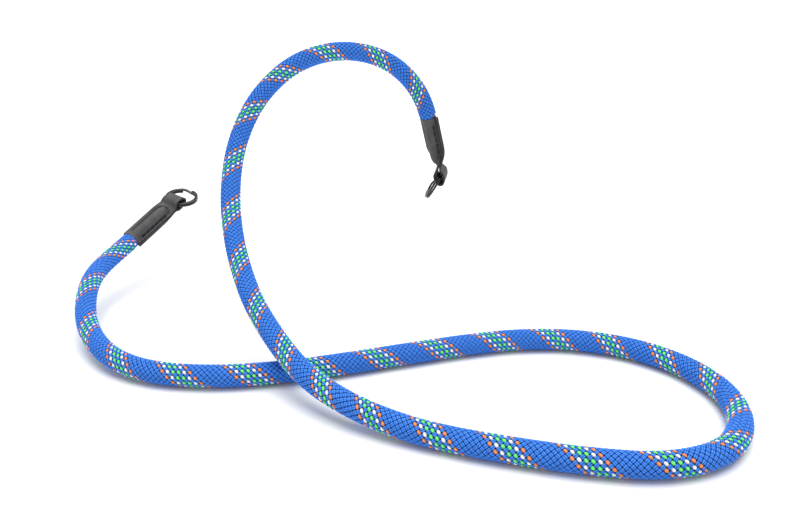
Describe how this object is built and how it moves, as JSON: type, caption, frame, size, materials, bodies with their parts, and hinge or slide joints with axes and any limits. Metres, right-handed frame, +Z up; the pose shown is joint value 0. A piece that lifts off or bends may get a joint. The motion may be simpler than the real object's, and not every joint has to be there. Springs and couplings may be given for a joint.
{
  "type": "rope camera strap",
  "caption": "Braided rope camera strap with a folded leather end and a split ring at each side, shown as it lies while fastened.",
  "frame": {"origin": "centre of the left split ring, where the strap hangs on what it is fastened to", "axes": "+Z up, +X to the right towards the other ring, +Y away from the viewer; the rope lies on a table at z = -42 mm"},
  "size_m": [0.3055, 0.227, 0.1339],
  "materials": {
    "rope_braid": "woven polyester braid, blue with a winding band of orange, white and green",
    "black_leather": "soft black leather, satin, with dark stitching",
    "black_nickel": "black nickel plated steel, polished"
  },
  "bodies": {
    "root": {"rope": "rope_braid", "leather_end_left": "black_leather", "leather_end_right": "black_leather", "split_ring_left": "black_nickel", "split_ring_right": "black_nickel"}
  },
  "joints": []
}
